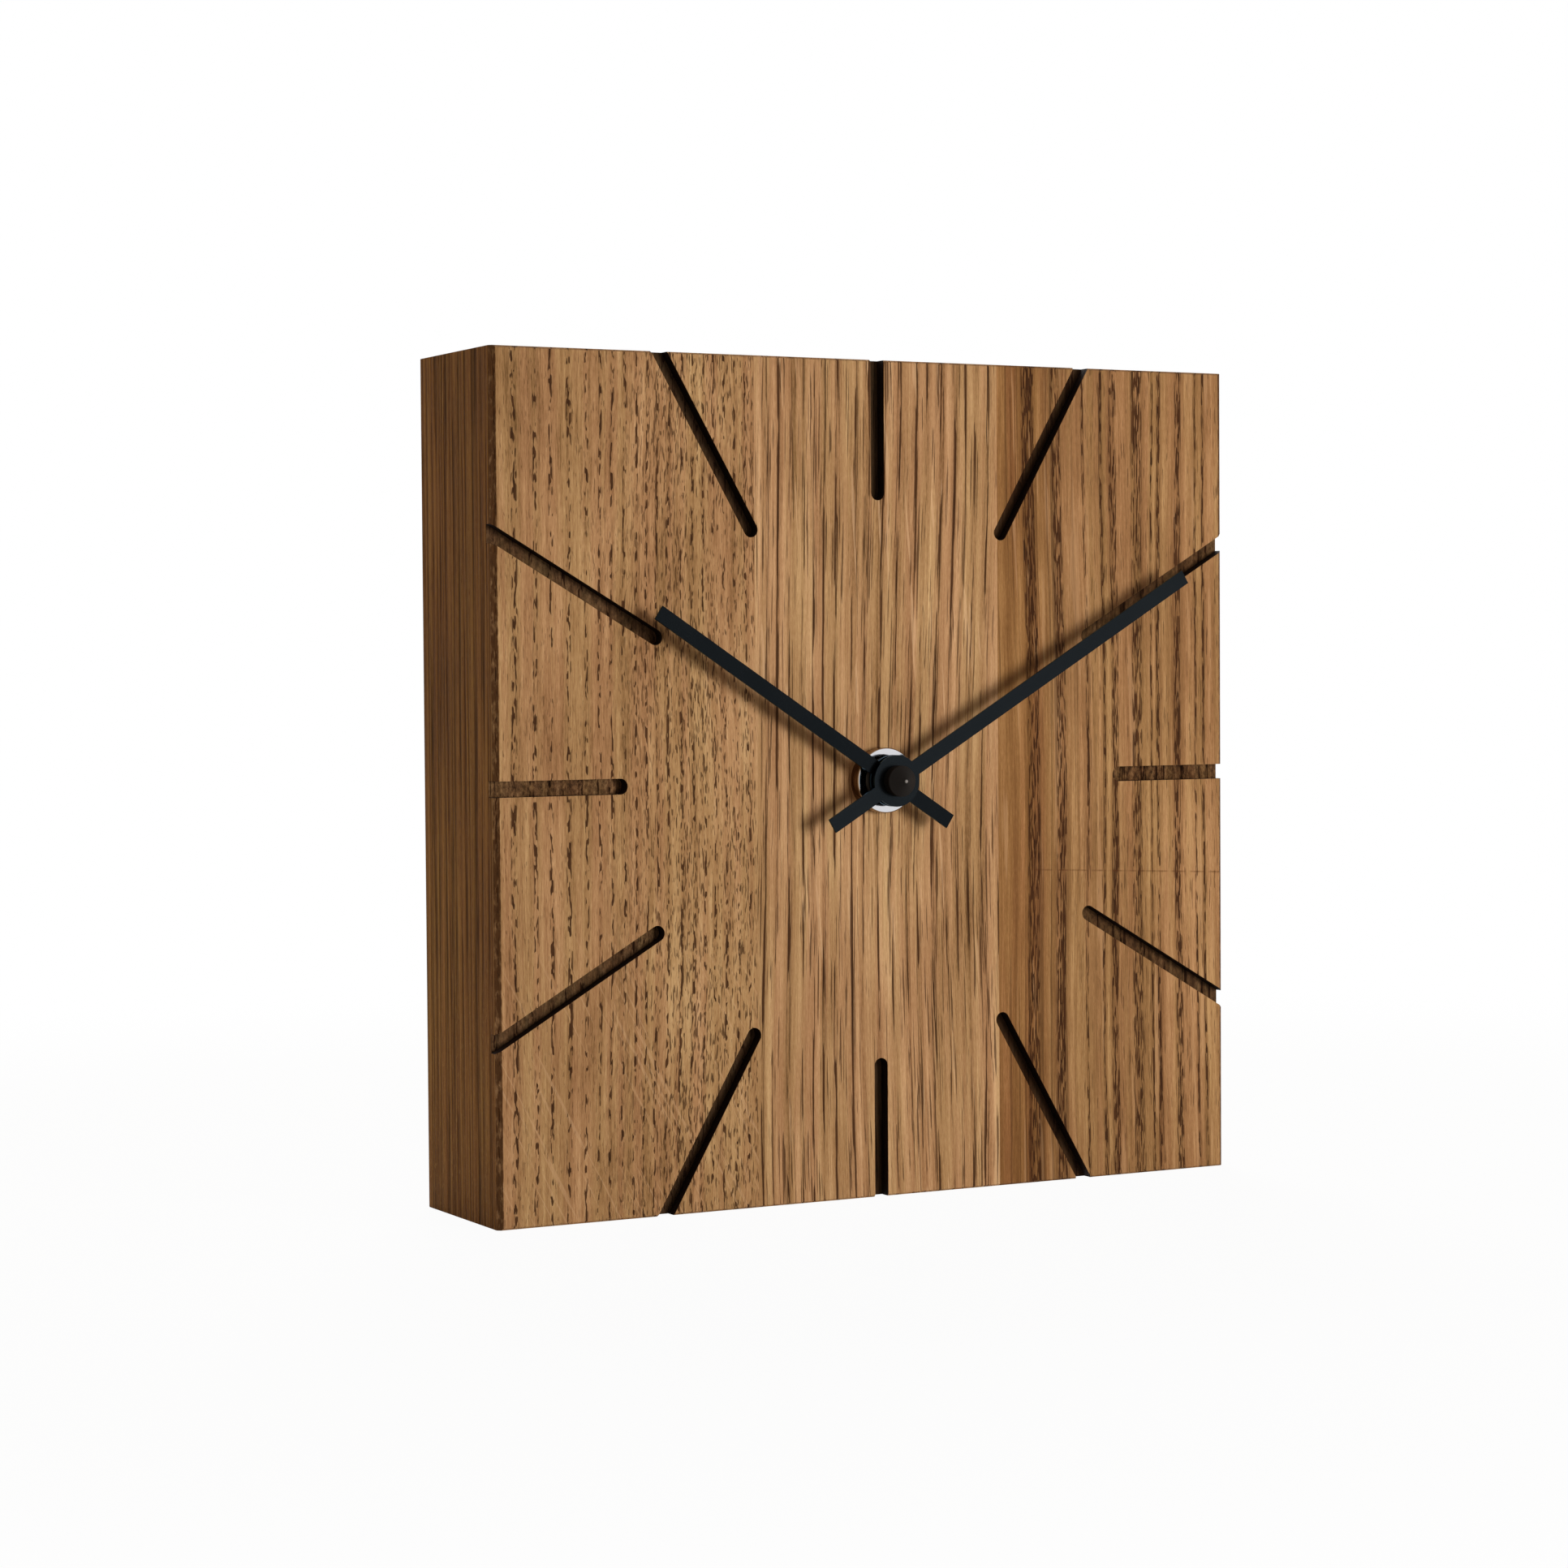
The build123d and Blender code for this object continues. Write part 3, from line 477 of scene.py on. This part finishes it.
finishes = {
    "left_stave": oak(
        "oak_left", pith=(-97, 34), ring=1.65, seed=1.7, ripple=0.6, stripe=0.08,
        tones=wood_tones((120, 86, 55), (158, 118, 82), (175, 135, 96), (201, 162, 121)),
        layers=(
            dict(across=2.4, along=0.5, start=0.54, full=0.59, reach=0.77),
            dict(across=4.0, along=0.45, start=0.61, full=0.66, weight=0.8, fade=(-58.0, -42.0)),
            dict(across=4.4, along=0.5, start=0.68, full=0.73, weight=0.45),
        ),
        fibre=dict(length=4.0, share=0.7),
        streak=dict(width=1.1, length=24.0, share=0.75),
        rays=dict(lean=0.52, across=1.7, along=0.05, start=0.6, full=0.66, share=0.35, top=45.0),
    ),
    "centre_stave": oak(
        "oak_centre", pith=(-140, -10), ring=2.7, seed=5.3, ripple=0.3, stripe=0.16,
        tones=wood_tones((118, 84, 54), (161, 121, 85), (179, 139, 101), (208, 169, 128)),
        layers=(
            dict(across=2.8, along=0.06, start=0.53, full=0.56, reach=0.8, detail=2.0),
            dict(across=3.6, along=0.065, start=0.63, full=0.66, weight=0.8, detail=2.0),
        ),
        fibre=dict(length=12.0, share=0.6),
        streak=dict(width=1.5, length=90.0, share=0.75),
        rays=dict(lean=0.05, across=0.8, along=0.035, start=0.65, full=0.68, share=0.45),
    ),
    "right_stave": oak(
        "oak_right", pith=(12, 45), ring=2.2, seed=8.9, ripple=0.4, stripe=0.2, jitter=2.2,
        tones=wood_tones((112, 77, 48), (136, 98, 64), (153, 113, 76), (182, 141, 100)),
        layers=(
            dict(across=4.6, along=0.32, start=0.48, full=0.52, reach=0.66),
            dict(across=1.9, along=0.008, start=0.57, full=0.62, weight=0.45, fade=(46.0, 38.0)),
            dict(across=3.6, along=0.2, start=0.67, full=0.71, weight=0.55, fade=(36.0, 46.0)),
        ),
        fibre=dict(length=8.0, share=0.65),
        streak=dict(width=1.5, length=60.0, share=0.85),
        rays=dict(lean=0.02, across=0.6, along=0.03, start=0.62, full=0.68, share=0.4),
        band=(31.0, 40.0, rgb(230, 218, 204)),
        scribe=(32.0, 59.2, -0.044),
    ),
}

# The hands share one paint; the hour hand's copy mirrors the studio less, painted shade that makes it render
# darker
cool_sheen = (0.667, 0.858, 1.0, 1.0)
hand_paint = dict(
    colour=rgb(6, 7, 8), worn=rgb(9, 10, 11), roughness=0.24, grain=6.0, bump=0.004 * mm,
    dull_sides=True, Specular_Tint=cool_sheen,
)
finishes["hour_hand"] = plain("hour_black", Specular_IOR_Level=0.11, **hand_paint)
finishes["minute_hand"] = plain("minute_black", Specular_IOR_Level=0.18, **hand_paint)

# Turned pieces and the battery
# The pale spot at the cap's tip is a painted highlight.
finishes["hand_cap"] = turned(
    "cap_black", rgb(20, 16, 13), 0.45, 0.25, 0.02 * mm, painted_light=(0.4, 0.1, rgb(150, 146, 142)),
    Metallic=0.0, Specular_IOR_Level=0.08,
)
# The brown ring at the nut's rim is a painted reflection of the wood beside it.
finishes["round_nut"] = turned(
    "nut_steel", rgb(214, 214, 217), 0.12, 0.12, 0.002 * mm, painted_light=(5.62, 5.72, rgb(132, 106, 78))
)
# The bush is a darkened copy of the brass: painted shade for the deep shadow round it.
finishes["threaded_bush"] = turned("shaded_brass", rgb(50, 41, 30), 0.6, 0.2, 0.01 * mm)
finishes["minute_arbor"] = turned("brass", rgb(168, 140, 84), 0.45, 0.2, 0.01 * mm)
finishes["battery"] = jacket("battery_jacket")

# Plain finishes: dark and pale tone, roughness, grain features per mm, bump in mm, share of metal, nodes
wheels = ("hour", "minute", "centre", "third", "intermediate", "seconds")
white_nodes = [f"{wheel}_wheel" for wheel in wheels] + ["rotor_pinion"]
plain_finishes = {
    "rubber": ((30, 30, 30), (40, 39, 38), 0.8, 3.0, 0.04, 0.0, ["rubber_washer"]),
    "case_black": ((30, 30, 32), (38, 38, 40), 0.55, 5.0, 0.03, 0.0, ["movement_case", "rear_cover"]),
    "knob_grey": ((120, 121, 124), (134, 135, 137), 0.45, 5.0, 0.02, 0.0, ["setting_knob"]),
    "plate_grey": ((176, 178, 180), (188, 189, 190), 0.5, 4.0, 0.02, 0.0, ["train_plate"]),
    "wheel_white": ((226, 225, 216), (236, 235, 228), 0.38, 4.0, 0.01, 0.0, white_nodes),
    "spring_steel": ((196, 197, 199), (208, 208, 210), 0.3, 8.0, 0.01, 1.0, ["clutch_spring"]),
    "magnet_grey": ((70, 70, 73), (86, 86, 88), 0.55, 6.0, 0.03, 0.6, ["rotor_magnet"]),
    "iron_plate": ((172, 172, 175), (190, 190, 192), 0.36, 5.0, 0.01, 1.0, ["stator", "coil_core"]),
    "bobbin_plastic": ((214, 208, 190), (224, 219, 203), 0.5, 4.0, 0.01, 0.0, ["coil_bobbin"]),
    "copper_wire": ((176, 96, 52), (196, 116, 66), 0.35, 7.0, 0.05, 1.0, ["coil_winding"]),
    "board_green": ((26, 74, 44), (34, 88, 54), 0.4, 3.0, 0.02, 0.0, ["circuit_board"]),
    "chip_black": ((24, 24, 25), (32, 32, 33), 0.45, 6.0, 0.02, 0.0, ["control_chip"]),
    "crystal_can": ((206, 207, 210), (218, 219, 221), 0.25, 6.0, 0.01, 1.0, ["quartz_crystal"]),
    "contact_steel": (
        (210, 210, 208), (222, 222, 219), 0.28, 6.0, 0.01, 1.0, ["positive_contact", "negative_contact"],
    ),
}
for name, (dark, pale, roughness, grain, bump, metal, node_names) in plain_finishes.items():
    finish = plain(name, rgb(*dark), rgb(*pale), roughness, grain, bump * mm, Metallic=metal)
    finishes.update(dict.fromkeys(node_names, finish))

for node_name, finish in finishes.items():
    mesh = nodes[node_name].data
    mesh.materials.clear()
    mesh.materials.append(finish)


def lathe(name, profile, start, axis, across, node, body, ring=False):
    """Turned piece that stands for a node.

    The point of profile row (a, r) at the angle t is start + a * axis + r * (cos t * across + sin t * third),
    with third square to both. An open profile ends on the axis at both poles; a ring closes on itself.
    """
    around = 128
    crease = math.radians(25)
    rows = np.asarray(profile) * mm
    axis, across = np.asarray(axis, float), np.asarray(across, float)
    third = np.cross(axis, across)
    turn = np.linspace(0, 2 * np.pi, around, endpoint=False)
    spoke = np.cos(turn)[:, None] * across + np.sin(turn)[:, None] * third
    body_rows = rows if ring else rows[1:-1]
    grid = np.asarray(start) + body_rows[:, None, :1] * axis + body_rows[:, None, 1:] * spoke
    count = len(body_rows)
    number = np.arange(count * around).reshape(count, around)
    if ring:
        number = np.vstack([number, number[:1]])
    after = np.roll(number, -1, axis=1)
    quads = np.stack([number[:-1], number[1:], after[1:], after[:-1]], axis=-1).reshape(-1, 4)
    points = grid.reshape(-1, 3)
    faces = quads.tolist()
    if not ring:
        poles = np.asarray(start) + rows[[0, -1], :1] * axis
        points = np.vstack([points, poles])
        first, last = len(points) - 2, len(points) - 1
        faces += np.stack([number[0], after[0], np.full(around, first)], axis=-1).tolist()
        faces += np.stack([after[-1], number[-1], np.full(around, last)], axis=-1).tolist()
    mesh = bpy.data.meshes.new(name)
    mesh.from_pydata(points.tolist(), [], faces)
    mesh.shade_smooth()
    mesh.set_sharp_from_angle(angle=crease)
    mesh.materials.append(finishes[node])
    piece = bpy.data.objects.new(name, mesh)
    bpy.context.scene.collection.objects.link(piece)
    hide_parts(node)
    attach(piece, body)


def rounded(corner, before, after, reach):
    """Corner of a profile eased by a curve from the leg before it to the leg after it.

    Points are (1 - s) ** 2 * start + 2 * s * (1 - s) * corner + s ** 2 * end, with s from 0 to 1.
    """
    steps = 5
    corner, before, after = (np.asarray(point, float) for point in (corner, before, after))
    start = corner + reach * (before - corner) / np.linalg.norm(before - corner)
    end = corner + reach * (after - corner) / np.linalg.norm(after - corner)
    s = np.linspace(0, 1, steps)[:, None]
    return ((1 - s) ** 2 * start + 2 * s * (1 - s) * corner + s ** 2 * end).tolist()


def eased(*corners):
    """Profile of corners (along, radius, reach), each eased over its reach, or sharp at reach 0."""
    points = [corner[:2] for corner in corners]
    rows = []
    for number, (along, radius, reach) in enumerate(corners):
        if reach == 0:
            rows.append([along, radius])
        else:
            following = points[(number + 1) % len(points)]
            rows += rounded(points[number], points[number - 1], following, reach)
    return rows


# Cap nut with a pointed end, eased at its rim and tip
forward = (0, -1, 0)
sideways = (1, 0, 0)
cap_length = (cap_high.y - cap_low.y) * per_mm
cap_radius = (cap_high.x - cap_low.x) / 2 * per_mm
cap_bevel = 0.12
cap_cone = 1.65
tip_share = 0.06
cap_profile = eased(
    (0, 0, 0),
    (0, cap_radius - cap_bevel, 0),
    (cap_bevel, cap_radius, 0),
    (cap_length - cap_cone, cap_radius, 0.14),
    (cap_length - cap_cone * tip_share, cap_radius * tip_share, 0.05),
    (cap_length, 0, 0),
)
cap_start = (0, cap_high.y, hub_z)
lathe("turned_cap", cap_profile, cap_start, forward, sideways, "hand_cap", "minute")

# Bright nut: a turned ring with broken edges
nut_length = (nut_high.y - nut_low.y) * per_mm
nut_radius = (nut_high.x - nut_low.x) / 2 * per_mm
nut_bore = 4.0
nut_bevel = 0.2
nut_profile = eased(
    (0, nut_bore, 0),
    (0, nut_radius, 0),
    (nut_length - nut_bevel, nut_radius, 0.08),
    (nut_length, nut_radius - nut_bevel, 0.08),
    (nut_length, nut_bore, 0.06),
)
nut_start = (0, nut_high.y, hub_z)
lathe("turned_nut", nut_profile, nut_start, forward, sideways, "round_nut", "case", ring=True)

# Battery: flat end with a rolled edge, jacket, shoulder and nub
cell_radius = (cell_high.z - cell_low.z) / 2 * per_mm
cell_length = (cell_high.x - cell_low.x) * per_mm
nub_radius = 2.75
nub_length = 1.3
shoulder = cell_length - nub_length
cell_profile = eased(
    (0, 0, 0),
    (0, cell_radius - 1.2, 0.1),
    (0.25, cell_radius - 1.0, 0.1),
    (0.25, cell_radius - 0.25, 0.2),
    (0.5, cell_radius, 0.2),
    (shoulder - 0.6, cell_radius, 0.3),
    (shoulder - 0.25, cell_radius - 0.4, 0.3),
    (shoulder - 0.35, cell_radius - 1.6, 0.3),
    (shoulder, nub_radius + 1.0, 0.2),
    (shoulder, nub_radius, 0),
    (cell_length, nub_radius, 0.35),
    (cell_length, 0, 0),
)
cell_start = (cell_low.x, (cell_low.y + cell_high.y) / 2, (cell_low.z + cell_high.z) / 2)
lathe("dry_cell", cell_profile, cell_start, (1, 0, 0), (0, 1, 0), "battery", "cell")

# Camera at the photograph's view
camera_place = (-0.3094, -0.5559, 0.0965)
camera_yaw = math.radians(28.24)
camera_pitch = math.radians(2.035)
camera_roll = math.radians(-0.402)
camera_data = bpy.data.cameras.new("camera")
camera_data.sensor_width = 36.0
camera_data.lens = 79.73
camera_data.clip_start = 0.01
camera = bpy.data.objects.new("camera", camera_data)
bpy.context.scene.collection.objects.link(camera)
heading = Matrix.Rotation(-camera_yaw, 4, "Z")
tilt = Matrix.Rotation(-camera_pitch, 4, "X") @ Matrix.Rotation(-camera_roll, 4, "Y")
upright = Matrix.Rotation(math.pi / 2, 4, "X")
camera.matrix_world = Matrix.Translation(camera_place) @ heading @ tilt @ upright
bpy.context.scene.camera = camera


def lamp(name, place, aim, size, power, mirrored=True):
    """Soft square lamp at a place, turned to its aim, and mirrored in glossy surfaces or not."""
    data = bpy.data.lights.new(name, "AREA")
    data.size = size
    data.energy = power
    made = bpy.data.objects.new(name, data)
    bpy.context.scene.collection.objects.link(made)
    made.visible_camera = False
    made.visible_glossy = mirrored
    made.location = place
    made.rotation_euler = (Vector(aim) - Vector(place)).to_track_quat("-Z", "Y").to_euler()


middle = (0, 0, hub_z)
lamp("key_lamp", (0.25, -0.615, 0.108), middle, size=0.22, power=3.5, mirrored=False)
lamp("back_lamp", (0.3, 0.8, 0.9), middle, size=0.5, power=9.0)


def white_to_camera(tree):
    """Share 1 for rays that the camera, a reflection or a clear piece sends out, else 0."""
    rays = Socket(tree, tree.nodes.new("ShaderNodeLightPath").outputs["Is Camera Ray"])
    return either(either(rays, rays.beside("Is Glossy Ray")), rays.beside("Is Transmission Ray"))


# White studio: the world and the floor are white to the camera, and the floor keeps a soft shadow
pure_white = (1.0, 1.0, 1.0, 1.0)
ambient = (0.19, 0.147, 0.106, 1.0)
world = bpy.data.worlds.new("studio")
bpy.context.scene.world = world
world.use_nodes = True
background = world.node_tree.nodes["Background"]
sky = blend(white_to_camera(world.node_tree), ambient, pure_white)
world.node_tree.links.new(sky.output, background.inputs["Color"])

floor_half = 4.0
floor_mesh = bpy.data.meshes.new("floor")
corners = np.array([(-1, -1, 0), (1, -1, 0), (1, 1, 0), (-1, 1, 0)]) * floor_half
floor_mesh.from_pydata(corners.tolist(), [], [(0, 1, 2, 3)])
floor = bpy.data.objects.new("floor", floor_mesh)
bpy.context.scene.collection.objects.link(floor)

# The floor's shadow shows by a small share of its matt surface, which ends far from the clock
floor_grey = (0.75, 0.75, 0.75, 1.0)
matt_share = 0.04
matt_near, matt_far = 200.0, 420.0
floor_material, floor_place = begin("studio_floor")
floor_tree = floor_material.node_tree
floor_tree.nodes.remove(floor_tree.nodes["Principled BSDF"])
far = smooth(distance(*split(floor_place)[:2]), matt_near, matt_far)
seen = white_to_camera(floor_tree)
matt = seen.node("ShaderNodeBsdfDiffuse", None, {"Color": floor_grey})
white = seen.node("ShaderNodeEmission", None, {"Color": pure_white, "Strength": 1.0})
white_share = seen * (1 - matt_share + matt_share * far)
shown = seen.node("ShaderNodeMixShader", None, {0: white_share, 1: matt, 2: white})
floor_tree.links.new(shown.output, floor_tree.nodes["Material Output"].inputs["Surface"])
floor_mesh.materials.append(floor_material)

bpy.context.scene.view_settings.view_transform = "Standard"
